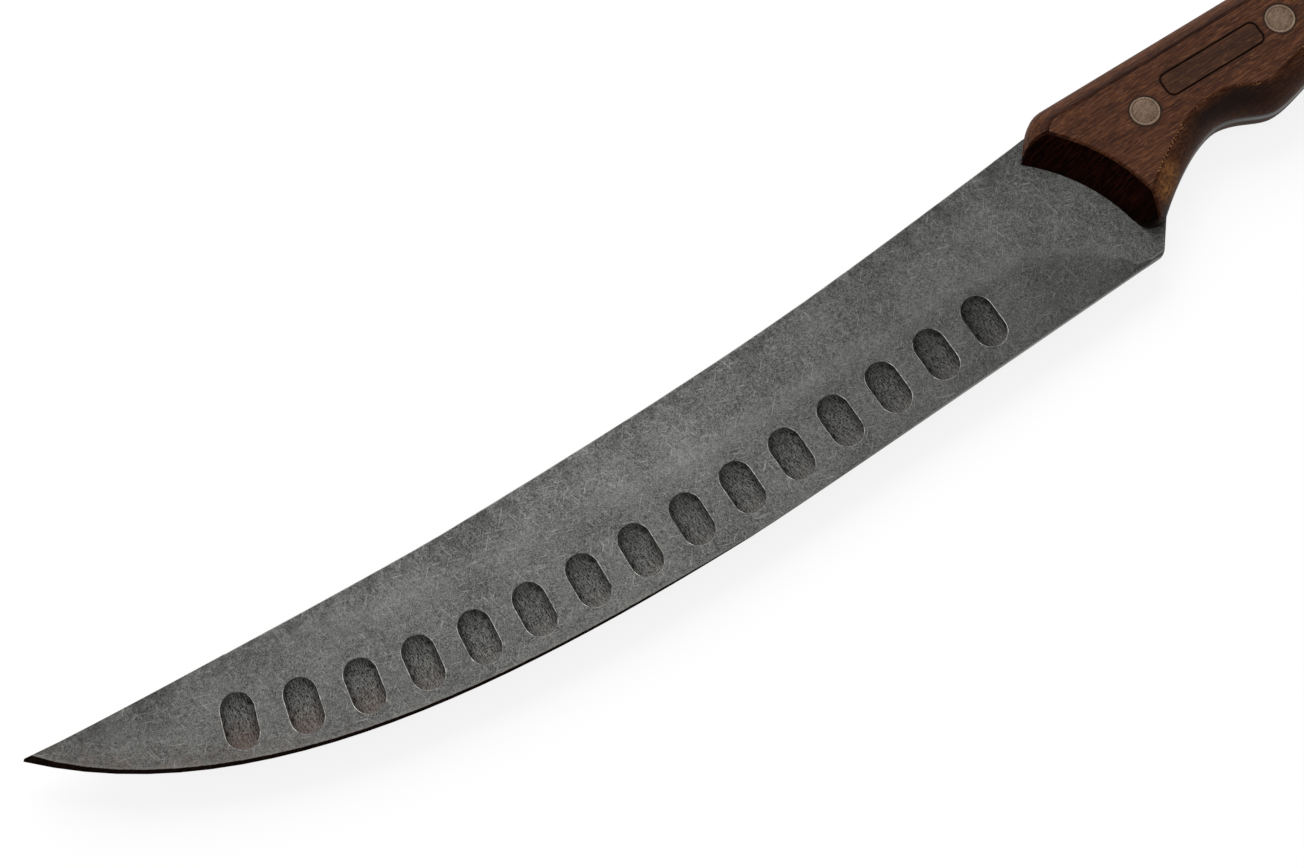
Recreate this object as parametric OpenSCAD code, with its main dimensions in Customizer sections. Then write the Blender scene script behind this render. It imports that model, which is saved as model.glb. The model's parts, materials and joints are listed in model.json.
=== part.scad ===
// Long meat knife with a full tang and a riveted wooden handle.
// It lies on its right side: +X runs from the tip to the butt, +Y from the edge to the spine,
// and +Z out of the left side. The origin is under the middle of the whole knife.
// Until placed() moves them, shapes count X and Y from the tip and Z from the middle of the steel.

/* [Blade] */
// Length from the tip to the heel corner
blade_l = 310; // [290:1:330]
// Thickness of the steel, in the blade and the tang alike
steel_thick = 3; // [2.4:0.1:4]
// How far the cutting edge hangs below the tip at its lowest
edge_drop = 48.8; // [46:0.2:54]
// How far the heel corner lies below the tip
heel_drop = 43.2; // [41:0.2:46]
// How far the spine sags below the tip
spine_sag = 6.9; // [4:0.1:10]
// Rounding of the heel corner
heel_round = 1.6; // [0.5:0.1:3]

/* [Grind] */
// Width of the ground face near the heel, from the edge up
grind_w = 23; // [18:0.5:28]
// Width that the ground face would have at the tip
grind_tip_w = 32; // [28:0.5:36]
// Thickness of the steel where the final bevel begins
shoulder_thick = 0.6; // [0.4:0.05:1]
// Thickness that is left at the cutting edge
edge_thick = 0.1; // [0.05:0.05:0.3]
// Width of the final bevel
bevel_w = 1; // [0.6:0.1:2]
// Width of the final bevel at the tip
bevel_tip_w = 2; // [1:0.1:3]
// How far from the tip the final bevel narrows
bevel_tip_run = 35; // [10:1:80]
// Radius of the curve in which the ground face runs out at the heel
plunge_r = 45; // [35:1:60]
// Unground stretch of edge before the heel corner
ricasso_l = 7.6; // [4:0.1:12]
// Width of the bevel that thins the bottom of that stretch
heel_bevel_w = 0.8; // [0.4:0.1:1.5]

/* [Hollows] */
// Number of hollows on the left side; the right side has one less, set between them
hollow_count = 15; // [3:1:15]
// Length of a hollow, across the blade
hollow_l = 14.5; // [10:0.1:16]
// Width of a hollow, along the blade
hollow_w = 8.5; // [6:0.1:10]
// Depth of a hollow in its middle
hollow_depth = 0.4; // [0.2:0.05:0.5]
// Distance between neighbouring hollows, along the blade
hollow_pitch = 15.1; // [12:0.1:16]
// Distance from the tip to the middle of the first hollow
hollow_start = 49.3; // [45:0.1:60]
// Steel between the first hollow and the cutting edge
hollow_margin = 3.5; // [3:0.1:6]
// Steel between the last hollow and the cutting edge
hollow_heel_margin = 5; // [3:0.1:6]
// Radius of the wheel that grinds the floor of a hollow
wheel_r = 90; // [80:1:200]
// Share of the edge's turns that the hollows follow
hollow_follow = 0.8; // [0:0.05:1]
// Lean of the hollows towards the tip, in degrees
hollow_lean = 1; // [0:0.5:10]

/* [Handle] */
// Length of the handle, from its front corner to the butt
handle_l = 148; // [140:1:160]
// Thickness over both halves
handle_thick = 20; // [17:0.5:24]
// How far the handle's front corner reaches ahead of the heel corner
front_reach = 16.8; // [14:0.1:18]
// Height of the handle's top edge above the tip
top_rise = 5.8; // [4:0.1:8]
// Length of the front corner
corner_l = 10.8; // [8:0.1:14]
// Height of the front corner
corner_h = 8.7; // [7:0.1:10]
// Width of the rounded shoulder around the flat face
shoulder_w = 5.3; // [3:0.1:6]
// Straight wall between the steel and the rounded shoulder
wall_h = 0.3; // [0.1:0.1:2]
// Sweep of the shoulder's rounding, in degrees; below 90 it leaves a ridge round the flat face
shoulder_sweep = 65; // [50:1:80]

/* [Underside of the handle] */
// Place of the toe, from the front corner back
toe_x = 22.5; // [21:0.1:24]
// Depth of the toe below the top edge
toe_h = 41; // [39:0.1:43]
// Rounding of the toe
toe_r = 4.5; // [3:0.1:6]
// Slope of the underside behind the toe, in degrees
toe_slope = 39.5; // [35:0.5:45]
// Place of the finger notch, from the front corner back
notch_x = 48.3; // [46:0.1:50]
// Height of the handle over the finger notch
notch_h = 27.4; // [25:0.1:29]
// Place of the hump behind the finger notch
hump_x = 63.8; // [62:0.1:68]
// Height of the handle at the hump
hump_h = 32.1; // [31:0.1:34]
// Place of the waist
waist_x = 95; // [90:1:100]
// Height of the handle at the waist
waist_h = 26.6; // [25:0.1:29]
// Height of the handle at the beak of the butt
beak_h = 33.8; // [31:0.1:36]
// Distance from the beak to the end of the butt
beak_l = 11; // [9:0.1:14]
// Length of the rounding of the butt along the top
butt_l = 26; // [20:1:34]
// Depth of the butt's rearmost point below the top edge
butt_h = 19; // [16:0.5:22]

/* [Scooped front] */
// Radius of the scoop
scoop_r = 60; // [50:1:90]
// Lean of the front back from upright, in degrees
scoop_tilt = 38; // [30:1:45]
// Turn of the front away from square to the handle, in degrees
scoop_turn = 27.5; // [22:0.5:32]
// How far the middle of the scoop lies ahead of the heel corner, at the steel
scoop_x = 6.8; // [5:0.1:9]
// Depth of the middle of the scoop below the top edge
scoop_h = 22.4; // [20:0.1:24]

/* [Rivets] */
// Diameter of a rivet head
head_d = 8; // [6:0.1:9]
// Thickness of a rivet head
head_h = 2; // [1:0.1:3]
// Diameter of the rivet's tube
shank_d = 5; // [4.4:0.1:6]
// Diameter of the rivet's pin
pin_d = 3.4; // [2.4:0.1:3.6]
// Length of the pin under its head
pin_l = 11; // [8:0.1:11.5]
// Space between the tube's end and the pin's head
rivet_gap = 2; // [0.5:0.1:3]
// Space between the pin's end and the bottom of the tube's bore
pin_slack = 1; // [0.3:0.1:2]
// Clearance all round a rivet in its hole
rivet_clear = 0.1; // [0.05:0.01:0.2]
// Clearance all round a pin in its tube
pin_clear = 0.05; // [0.02:0.01:0.1]
// Distance from the front corner to the front rivet
rivet_x = 32; // [30:0.1:35]
// Depth of the front rivet below the top edge
rivet_h = 16.5; // [14:0.1:18]
// Distance between neighbouring rivets
rivet_pitch = 44.3; // [40:0.1:48]
// Rise of the row of rivets towards the butt, in degrees
rivet_rise = 3.1; // [0:0.1:4]

/* [Stamped frame] */
// Length of the frame
frame_l = 30.4; // [20:0.1:32]
// Height of the frame
frame_w = 7; // [5:0.1:9]
// Rounding of the frame's corners
frame_r = 2.2; // [1:0.1:2.4]
// Width of the stamped line
line_w = 0.5; // [0.3:0.1:0.8]
// Depth of the stamped line
line_depth = 0.3; // [0.1:0.05:0.6]
// Distance from the front corner to the frame's middle
frame_x = 54.9; // [54:0.1:56]
// Depth of the frame's middle below the top edge
frame_h = 13.85; // [12:0.1:15]

/* [Hidden] */
$fn = 64;

// Overrun of every cut past what it cuts
over = 2;
// Straight steps in each curve of an outline
steps = 12;
// Height of the blunt end of the tip
tip_blunt = 0.6;
// Straight steps in the rounded shoulder
shoulder_steps = 6;

// Places where the curves' handles pull, as shares of the spans that they follow
belly_share = 0.575;
edge_tip_shares = [0.123, 0.835];
edge_belly_share = 0.328;
edge_rear_shares = [0.605, 0.66];
edge_rise_share = 0.11;
spine_low_share = 0.38;
spine_tip_shares = [0.036, 0.32];
spine_dip_share = 0.32;
spine_rear_shares = [0.684, 0.745];
spine_lift_share = 0.58;
spine_meets_share = 0.5;
corner_shares = [[0, 0], [0.26, 0.38], [0.54, 0.95], [1, 1]];
butt_shares = [0.62, 0.55];
round_share = 0.58;
waist_share = 0.4;
hump_shares = [0.45, 0.22];
notch_shares = [0.32, 0.42];
toe_shares = [0.22, 0.45];

// Point at share t of a curve with the four handles p
function on_curve(p, t) =
    pow(1 - t, 3)*p[0] + 3*pow(1 - t, 2)*t*p[1] + 3*(1 - t)*t*t*p[2] + pow(t, 3)*p[3];
// Points of a curve in n steps, without its last point
function curve(p, n = steps) = [for (i = [0:n - 1]) on_curve(p, i/n)];
function unit(v) = v/norm(v);
function right_of(v) = [v.y, -v.x];

// Handle outline, clockwise seen from the left side
nose = [blade_l - front_reach, top_rise - corner_h];
butt = [nose.x + handle_l, top_rise - butt_h];
butt_top = [butt.x - butt_l, top_rise];
beak = [butt.x - beak_l, top_rise - beak_h];
waist = [nose.x + waist_x, top_rise - waist_h];
hump = [nose.x + hump_x, top_rise - hump_h];
notch = [nose.x + notch_x, top_rise - notch_h];
toe = [nose.x + toe_x, top_rise - toe_h];
toe_dir = [-cos(toe_slope), -sin(toe_slope)];
toe_middle = toe + toe_r*right_of(toe_dir);

corner_curve = [for (s = corner_shares) nose + [s.x*corner_l, s.y*corner_h]];
butt_curve = [butt_top, butt_top + [butt_shares[0]*butt_l, 0],
              butt + [0, butt_shares[1]*butt_h], butt];
beak_curve = [butt, butt + round_share*[0, beak.y - butt.y],
              beak + round_share*[beak_l, 0], beak];
waist_curve = [beak, beak + waist_share*[waist.x - beak.x, 0],
               waist + waist_share*[beak.x - waist.x, 0], waist];
hump_curve = [waist, waist + hump_shares[0]*[hump.x - waist.x, 0],
              hump + hump_shares[1]*[waist.x - hump.x, 0], hump];
notch_curve = [hump, hump + notch_shares[0]*[notch.x - hump.x, 0],
               notch + notch_shares[1]*[hump.x - notch.x, 0], notch];
toe_curve = [notch, notch + toe_shares[0]*[toe.x - notch.x, 0],
             toe - toe_shares[1]*(notch.x - toe.x)*toe_dir, toe];
underside = concat(curve(beak_curve), curve(waist_curve), curve(hump_curve),
                   curve(notch_curve), curve(toe_curve), [toe]);
function backwards(p) = [for (i = [len(p) - 1:-1:0]) p[i]];

// The wooden blank reaches past the toe and the nose, where the scoop then cuts it back.
// Its top and its underside are read at the same places along the handle.
blank_nose = nose - 3*(corner_curve[1] - nose);
blank_toe = toe + (toe.x - corner_curve[3].x)/2/cos(toe_slope)*toe_dir;
top_rail = concat([blank_nose], curve(corner_curve), [corner_curve[3]], curve(butt_curve), [butt]);
low_rail = concat([[blank_nose.x, blank_toe.y], blank_toe], backwards(underside));
rail_x = concat([blank_nose.x], [for (p = curve(corner_curve)) p.x],
                [corner_curve[3].x, blank_toe.x], [for (p = backwards(underside)) p.x]);
top_points = [for (x = rail_x) [x, lookup(x, top_rail)]];
low_points = [for (x = rail_x) [x, lookup(x, low_rail)]];
last = len(rail_x) - 1;
blank_outline = concat(top_points, [for (i = [last - 1:-1:0]) low_points[i]]);

// Blade outline
belly = [belly_share*blade_l, -edge_drop];
edge_end = [blade_l - heel_round, -heel_drop];
heel_corner = [blade_l, -heel_drop + heel_round/2];
edge_front = [[0, -tip_blunt],
              [edge_tip_shares[0]*blade_l, -edge_tip_shares[1]*edge_drop],
              [edge_belly_share*blade_l, -edge_drop], belly];
edge_rear = [belly, [edge_rear_shares[0]*blade_l, -edge_drop],
             [edge_rear_shares[1]*blade_l, -edge_drop + edge_rise_share*(edge_drop - heel_drop)],
             edge_end];
edge_points = concat(curve(edge_front, 2*steps), curve(edge_rear, 2*steps), [edge_end]);

spine_low = [spine_low_share*blade_l, -spine_sag];
spine_end = on_curve(corner_curve, spine_meets_share);
spine_front = [[0, 0], [spine_tip_shares[0]*blade_l, -spine_tip_shares[1]*spine_sag],
               [spine_dip_share*blade_l, -spine_sag], spine_low];
spine_rear = [spine_low, [spine_rear_shares[0]*blade_l, -spine_sag],
              [spine_rear_shares[1]*blade_l, -spine_lift_share*spine_sag], spine_end];
spine_points = concat(curve(spine_front, 2*steps), curve(spine_rear, 2*steps), [spine_end]);

// Distance along the edge from the tip to each of its points
function edge_run(i) = i == 0 ? 0 : edge_run(i - 1) + norm(edge_points[i] - edge_points[i - 1]);
edge_runs = [for (i = [0:len(edge_points) - 1]) edge_run(i)];
runs_x = [for (i = [0:len(edge_points) - 1]) [edge_runs[i], edge_points[i].x]];
runs_y = [for (i = [0:len(edge_points) - 1]) [edge_runs[i], edge_points[i].y]];
x_runs = [for (r = runs_x) [r[1], r[0]]];
ground_run = lookup(blade_l - ricasso_l, x_runs);
probe = ground_run/steps/4;

// Point of the edge at the distance s from the tip, direction there, and direction into the blade
function edge_at(s) = [lookup(s, runs_x), lookup(s, runs_y)];
function edge_dir(s) = unit(edge_at(s + probe) - edge_at(s - probe));
function into(s) = -right_of(edge_dir(s));

// Width of the final bevel, and width and slope of the ground face, at the distance s
plunge_w = bevel_w + shoulder_thick;
plunge_run = sqrt(pow(plunge_r, 2) - pow(plunge_r - grind_w + plunge_w, 2));
function bevel_at(s) = bevel_w + (bevel_tip_w - bevel_w)*max(0, 1 - s/bevel_tip_run);
function grind_at(s) =
    let (q = max(0, s - ground_run + plunge_run))
    grind_w + (grind_tip_w - grind_w)*max(0, 1 - s/(ground_run - plunge_run))
    - plunge_r + sqrt(pow(plunge_r, 2) - q*q);
function slope_at(s) = (steel_thick - shoulder_thick)/2/(grind_at(s) - bevel_at(s));
// Half the thickness of the steel at the distance d in from the edge
function half_at(s, d) =
    d < bevel_at(s) ? edge_thick/2 + (shoulder_thick - edge_thick)/2*d/bevel_at(s)
    : min(steel_thick/2, shoulder_thick/2 + (d - bevel_at(s))*slope_at(s));
// Width of the blade square to the edge, found by stepping towards the spine
function spine_y(x) = lookup(x, spine_points);
function width_at(s, d = 0, k = 8) =
    k == 0 ? d
    : width_at(s, (spine_y(edge_at(s).x + d*into(s).x) - edge_at(s).y)/into(s).y, k - 1);

// Distance from the edge to the middle of the hollow that lies at x
function hollow_in(x) =
    hollow_l/2 + hollow_margin
    + (hollow_heel_margin - hollow_margin)*(x - hollow_start)/(hollow_count - 1)/hollow_pitch;
// Distance along the edge to that hollow, found by stepping from the guess s
function hollow_run(x, s, k = 8) =
    k == 0 ? s : hollow_run(x, s + x - edge_at(s).x - hollow_in(x)*into(s).x, k - 1);

// Cross-section of the ground blade at the distance s
function blade_section(s) =
    let (p = edge_at(s), n = into(s), w = width_at(s), b = min(bevel_at(s), w/2),
         places = [0, b, min(grind_at(s), w - b/4), w])
    [for (side = [1, -1], k = [0:3])
        let (d = places[side > 0 ? k : 3 - k])
        [p.x + d*n.x, p.y + d*n.y, side*half_at(s, d)]];
flat_run = ground_run - plunge_run;
stations = concat([for (i = [0:3*steps - 1]) flat_run*i/(3*steps)],
                  [for (i = [0:steps]) flat_run + plunge_run*i/steps]);

// Unground steel: the heel and the tang. Its front leans forward, so the ground blade ends in it.
plate_outline = concat(
    [for (p = top_points) if (p.x >= spine_end.x) p],
    [for (p = backwards(low_points)) if (p.x >= toe.x && p.x < butt.x) p],
    [heel_corner, edge_end, edge_at(ground_run)]);

// Side faces of a solid whose n rings of m points follow each other
function side_faces(n, m) =
    [for (k = [0:n - 2], j = [0:m - 1])
        [k*m + j, k*m + (j + 1)%m, (k + 1)*m + (j + 1)%m, (k + 1)*m + j]];
// Faces that close a ring of the ground blade, from its first point
function section_faces(n, m) =
    [[for (j = [m - 1:-1:0]) j], [for (j = [0:m - 1]) (n - 1)*m + j]];
// Faces that close a ring of the blank, whose first point is k: each joins top and underside
function rungs(k) =
    [for (i = [0:last - 1])
        i == last - 1 ? [k + i, k + last, k + last + 1]
        : [k + i, k + i + 1, k + 2*last - i - 1, k + 2*last - i]];

// Outline p drawn in by the distance d
function drawn_in(p, d) =
    let (n = len(p))
    [for (i = [0:n - 1])
        let (a = unit(p[i] - p[(i + n - 1)%n]), b = unit(p[(i + 1)%n] - p[i]), c = unit(a + b))
        p[i] + d/(a*c)*right_of(c)];

scale_thick = (handle_thick - steel_thick)/2;
tube_l = handle_thick - 2*head_h - rivet_gap;
bore_l = pin_l - rivet_gap + pin_slack;
function rivet_at(i) =
    [nose.x + rivet_x + i*rivet_pitch*cos(rivet_rise),
     top_rise - rivet_h + i*rivet_pitch*sin(rivet_rise), 0];

// Moves a shape from the tip's frame to the frame of the whole knife
module placed() {
    translate([-butt.x/2, (edge_drop - top_rise)/2, handle_thick/2]) children();
}

module ground_blade() {
    n = len(stations);
    m = len(blade_section(0));
    polyhedron([for (s = stations) each blade_section(s)],
               concat(side_faces(n, m), section_faces(n, m)));
}

// What is cut off both sides of the heel's bottom. The ground blade is thinner and stays whole.
module heel_bevels() {
    start = edge_at(ground_run);
    run = edge_end - start;
    drop = (steel_thick - shoulder_thick)/2;
    translate([start.x, start.y, 0])
        rotate([0, 0, atan2(run.y, run.x)])
        for (side = [0, 1])
            mirror([0, 0, side]) translate([-ricasso_l/2, 0, shoulder_thick/2]) rotate([90, 0, 90])
                linear_extrude(height = 2*ricasso_l)
                polygon([[-heel_bevel_w, -drop], [2*heel_bevel_w, 2*drop], [-heel_bevel_w, 2*drop]]);
}

// One hollow, with its middle on the ground face at x
module hollow(x) {
    s = hollow_run(x, x);
    middle = edge_at(s) + hollow_in(x)*into(s);
    height = shoulder_thick/2 + (hollow_in(x) - bevel_at(s))*slope_at(s);
    edge_turn = atan2(edge_dir(s).y, edge_dir(s).x);
    translate([middle.x, middle.y, height])
        rotate([0, 0, edge_turn])
        rotate([atan(slope_at(s)), 0, 0])
        rotate([0, 0, (hollow_follow - 1)*edge_turn - hollow_lean])
        intersection() {
            linear_extrude(height = 2*steel_thick, center = true) {
                square([hollow_w, hollow_l - hollow_w], center = true);
                for (side = [-1, 1])
                    translate([0, side*(hollow_l - hollow_w)/2]) circle(d = hollow_w);
            }
            translate([0, 0, wheel_r - hollow_depth])
                rotate([0, 90, 0])
                cylinder(r = wheel_r, h = 2*hollow_w, center = true, $fn = 120);
        }
}

module blade() {
    color("#5d5f60") placed() difference() {
        union() {
            ground_blade();
            linear_extrude(height = steel_thick, center = true) polygon(plate_outline);
        }
        heel_bevels();
        for (i = [0:hollow_count - 1]) hollow(hollow_start + i*hollow_pitch);
        mirror([0, 0, 1])
            for (i = [0:hollow_count - 2]) hollow(hollow_start + (i + 1/2)*hollow_pitch);
        for (i = [0:2])
            translate(rivet_at(i))
                cylinder(d = shank_d + 2*rivet_clear, h = 2*steel_thick, center = true);
    }
}

// The blank with its rounded shoulder, lying on the left side of the steel
module scale_blank() {
    rise = scale_thick - wall_h;
    ring_in = concat([0], [for (k = [0:shoulder_steps])
        shoulder_w*(1 - cos(k*shoulder_sweep/shoulder_steps))/(1 - cos(shoulder_sweep))]);
    ring_z = concat([0], [for (k = [0:shoulder_steps])
        wall_h + rise*sin(k*shoulder_sweep/shoulder_steps)/sin(shoulder_sweep)]);
    n = len(ring_in);
    m = len(blank_outline);
    polyhedron([for (k = [0:n - 1], p = drawn_in(blank_outline, ring_in[k]))
                   [p.x, p.y, steel_thick/2 + ring_z[k]]],
               concat([for (f = rungs(0)) backwards(f)], side_faces(n, m), rungs((n - 1)*m)));
}

// Round cut that scoops and slants the front
module scoop() {
    translate([blade_l - scoop_x, top_rise - scoop_h, steel_thick/2])
        rotate([0, 0, scoop_turn])
        rotate([0, scoop_tilt, 0])
        translate([-scoop_r, 0, 0])
        rotate(180)
        cylinder(r = scoop_r, h = 6*handle_thick, center = true, $fn = 180);
}

// What is cut off round the toe
module toe_corner() {
    reach = 4*toe_r;
    translate([toe_middle.x, toe_middle.y, 0]) difference() {
        linear_extrude(height = handle_thick + over)
            polygon([[0, 0], reach*[sin(toe_slope), -cos(toe_slope)], reach*[0, -1],
                     reach*[-1, -1], reach*[-1, 0]]);
        translate([0, 0, -over]) cylinder(r = toe_r, h = handle_thick + 3*over);
    }
}

// Stepped hole for a rivet: the shank's bore with the head's seat at the outer face
module rivet_hole() {
    shank_r = shank_d/2 + rivet_clear;
    head_r = head_d/2 + rivet_clear;
    seat = handle_thick/2 - head_h;
    rotate_extrude() polygon([[0, -over], [shank_r, -over], [shank_r, seat], [head_r, seat],
                              [head_r, seat + head_h + over], [0, seat + head_h + over]]);
}

module scale_body() {
    difference() {
        scale_blank();
        scoop();
        toe_corner();
        for (i = [0:2]) translate(rivet_at(i)) rivet_hole();
    }
}

// Rectangle with round corners
module round_frame(l, w, r) {
    square([l - 2*r, w], center = true);
    square([l, w - 2*r], center = true);
    for (x = [-1, 1], y = [-1, 1]) translate([x*(l/2 - r), y*(w/2 - r)]) circle(r = r);
}

module left_scale() {
    color("#4f3226") placed() difference() {
        scale_body();
        translate([nose.x + frame_x, top_rise - frame_h, handle_thick/2 - line_depth])
            linear_extrude(height = line_depth + over) difference() {
                round_frame(frame_l, frame_w, frame_r);
                round_frame(frame_l - 2*line_w, frame_w - 2*line_w, frame_r - line_w);
            }
    }
}

module right_scale() {
    color("#4f3226") placed() mirror([0, 0, 1]) scale_body();
}

// Headed tube of rivet i, put in from the left side
module rivet_socket(i) {
    color("#8d857c") placed() translate(rivet_at(i)) difference() {
        union() {
            translate([0, 0, handle_thick/2 - head_h]) cylinder(d = head_d, h = head_h);
            translate([0, 0, handle_thick/2 - head_h - tube_l])
                cylinder(d = shank_d, h = tube_l + head_h/2);
        }
        translate([0, 0, handle_thick/2 - head_h - tube_l - over])
            cylinder(d = pin_d + 2*pin_clear, h = bore_l + over);
    }
}

// Headed pin of rivet i, put in from the right side
module rivet_pin(i) {
    color("#8d857c") placed() translate(rivet_at(i)) {
        translate([0, 0, -handle_thick/2]) cylinder(d = head_d, h = head_h);
        translate([0, 0, head_h/2 - handle_thick/2]) cylinder(d = pin_d, h = pin_l + head_h/2);
    }
}

blade();
left_scale();
right_scale();
rivet_socket(0);  // front_rivet_socket
rivet_pin(0);  // front_rivet_pin
rivet_socket(1);  // middle_rivet_socket
rivet_pin(1);  // middle_rivet_pin
rivet_socket(2);  // rear_rivet_socket
rivet_pin(2);  // rear_rivet_pin
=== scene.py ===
# %% [markdown]
# # A long meat knife with a riveted wooden handle
# The knife is one blank of tumbled steel, two handle halves of dark wood, and three rivets.
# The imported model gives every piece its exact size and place. This lesson gives each piece its
# softened edges and its finish, and then sets up the floor, the light and the camera.

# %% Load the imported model
import json
import math

import bpy
import numpy as np
from mathutils import Matrix, Vector

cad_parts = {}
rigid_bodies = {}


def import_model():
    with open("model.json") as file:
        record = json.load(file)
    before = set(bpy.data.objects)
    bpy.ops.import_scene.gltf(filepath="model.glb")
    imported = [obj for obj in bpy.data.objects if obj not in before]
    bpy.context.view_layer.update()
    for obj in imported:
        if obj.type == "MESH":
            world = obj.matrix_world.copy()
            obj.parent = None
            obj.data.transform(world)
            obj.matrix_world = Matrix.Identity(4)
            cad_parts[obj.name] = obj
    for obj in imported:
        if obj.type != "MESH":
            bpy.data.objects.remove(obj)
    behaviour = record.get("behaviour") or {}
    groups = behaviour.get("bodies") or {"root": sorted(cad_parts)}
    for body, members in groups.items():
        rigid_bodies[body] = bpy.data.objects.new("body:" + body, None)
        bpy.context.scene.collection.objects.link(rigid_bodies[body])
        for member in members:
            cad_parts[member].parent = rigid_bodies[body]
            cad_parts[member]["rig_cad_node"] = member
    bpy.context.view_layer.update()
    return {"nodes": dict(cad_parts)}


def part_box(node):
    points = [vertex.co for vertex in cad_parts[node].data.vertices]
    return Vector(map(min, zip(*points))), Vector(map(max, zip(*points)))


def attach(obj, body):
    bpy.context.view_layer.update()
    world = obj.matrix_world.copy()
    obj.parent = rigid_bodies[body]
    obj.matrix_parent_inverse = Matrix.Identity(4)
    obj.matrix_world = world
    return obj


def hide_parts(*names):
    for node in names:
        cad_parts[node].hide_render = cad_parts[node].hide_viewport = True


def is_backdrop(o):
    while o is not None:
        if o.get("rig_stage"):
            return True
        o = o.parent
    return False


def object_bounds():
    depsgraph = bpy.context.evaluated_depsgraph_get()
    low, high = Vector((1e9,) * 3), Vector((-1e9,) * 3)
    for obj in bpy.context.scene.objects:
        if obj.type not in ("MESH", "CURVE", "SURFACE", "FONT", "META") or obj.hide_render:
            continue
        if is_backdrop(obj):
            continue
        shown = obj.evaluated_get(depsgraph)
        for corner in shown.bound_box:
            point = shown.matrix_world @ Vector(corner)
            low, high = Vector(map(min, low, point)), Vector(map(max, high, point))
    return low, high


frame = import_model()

# %% [markdown]
# ## The camera
# The photo looks down on the knife from 70 degrees above the table, across the spine.
# The lens is long, so the knife shows hardly any perspective. The handle runs out of the frame.

# %% Camera
mm = 0.001
looks_at = Vector((-46.5, 8.8, 10)) * mm
azimuth, elevation, distance, lens_mm = -33, 70, 1000 * mm, 110.43

turn, rise = math.radians(azimuth), math.radians(elevation)
back = Vector((math.sin(turn) * math.cos(rise), -math.cos(turn) * math.cos(rise), math.sin(rise)))
camera = bpy.data.objects.new("camera", bpy.data.cameras.new("camera"))
camera.data.lens = lens_mm
camera.location = looks_at + distance * back
camera.rotation_mode = "QUATERNION"
camera.rotation_quaternion = (-back).to_track_quat("-Z", "Y")
bpy.context.scene.collection.objects.link(camera)
bpy.context.scene.camera = camera
print("Camera at", [round(v, 3) for v in camera.location])

# %% [markdown]
# ## Node helpers
# A material is a tree of nodes. These helpers add a node with its inputs in one line: a value is
# set on the input, and an output of another node is linked to it. Places and distances are
# written in millimetres. A material counts in metres, so the helpers change them over.

# %% Materials and nodes
def new_material(name, metallic=0.0, roughness=0.5, specular=0.5):
    """A material whose shader has these constant values, with its node tree."""
    material = bpy.data.materials.new(name)
    material.use_nodes = True
    tree = material.node_tree
    shader = tree.nodes["Principled BSDF"]
    shader.inputs["Metallic"].default_value = metallic
    shader.inputs["Roughness"].default_value = roughness
    shader.inputs["Specular IOR Level"].default_value = specular
    return material, tree, shader


def node(tree, kind, inputs, **settings):
    """Adds a node, sets its settings, then sets or links its inputs by name or number."""
    made = tree.nodes.new("ShaderNode" + kind)
    for name, value in settings.items():
        setattr(made, name, value)
    for name, value in inputs.items():
        if isinstance(value, bpy.types.NodeSocket):
            tree.links.new(value, made.inputs[name])
        else:
            made.inputs[name].default_value = value
    return made


def wire(tree, shader, colour, roughness=None, relief=None, strength=0.4, depth=0.02):
    """Links a finish to its shader: colour, roughness, and a relief of this depth in mm."""
    tree.links.new(colour, shader.inputs["Base Color"])
    if roughness is not None:
        tree.links.new(roughness, shader.inputs["Roughness"])
    if relief is not None:
        bump = node(tree, "Bump", {"Height": relief, "Strength": strength, "Distance": depth * mm})
        tree.links.new(bump.outputs["Normal"], shader.inputs["Normal"])


# %% Colours and sums in a material
def srgb(red, green, blue):
    """A colour as it is read from a picture, in the linear values that a shader takes."""
    return tuple((v / 255) ** 2.2 for v in (red, green, blue)) + (1.0,)


def mixed(tree, factor, first, second):
    """The colour that a factor from 0 to 1 picks between two colours."""
    return node(tree, "Mix", {0: factor, 6: first, 7: second}, data_type="RGBA").outputs[2]


def spread(tree, value, low, high, to_low=0.0, to_high=1.0):
    """A value from low to high, stretched to another range and held at its ends."""
    inputs = {"Value": value, "From Min": low, "From Max": high, "To Min": to_low, "To Max": to_high}
    return node(tree, "MapRange", inputs).outputs["Result"]


def ramp(tree, distance, low, high, to_low=0.0, to_high=1.0):
    """The same for a place or a distance, with low and high in mm."""
    return spread(tree, distance, low * mm, high * mm, to_low, to_high)


def maths(tree, kind, first, second=0.0):
    """One sum on two values."""
    return node(tree, "Math", {0: first, 1: second}, operation=kind).outputs["Value"]


def product(tree, *factors):
    """The product of several factors."""
    found = factors[0]
    for factor in factors[1:]:
        found = maths(tree, "MULTIPLY", found, factor)
    return found


def weighed(tree, *parts):
    """The sum of several values, each given with its weight."""
    found = product(tree, *parts[0])
    for part in parts[1:]:
        found = maths(tree, "ADD", found, product(tree, *part))
    return found


def off_from(tree, value, middle=0.0):
    """How far a value is from this middle, to either side."""
    return maths(tree, "ABSOLUTE", maths(tree, "SUBTRACT", value, middle))


# %% Places and patterns in a material
def own_place(tree):
    """Coordinates in the knife's own frame."""
    return node(tree, "TexCoord", {}).outputs["Object"]


def axis(tree, where, letter):
    """One of the three coordinates."""
    return node(tree, "SeparateXYZ", {"Vector": where}).outputs[letter]


def vectors(tree, kind, first, second=(0, 0, 0), output="Vector"):
    """One sum on two rows of three numbers."""
    return node(tree, "VectorMath", {0: first, 1: second}, operation=kind).outputs[output]


def far_from(tree, where, spot):
    """Distance from a spot that is given in mm."""
    return vectors(tree, "DISTANCE", where, tuple(float(v) * mm for v in spot), "Value")


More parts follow.
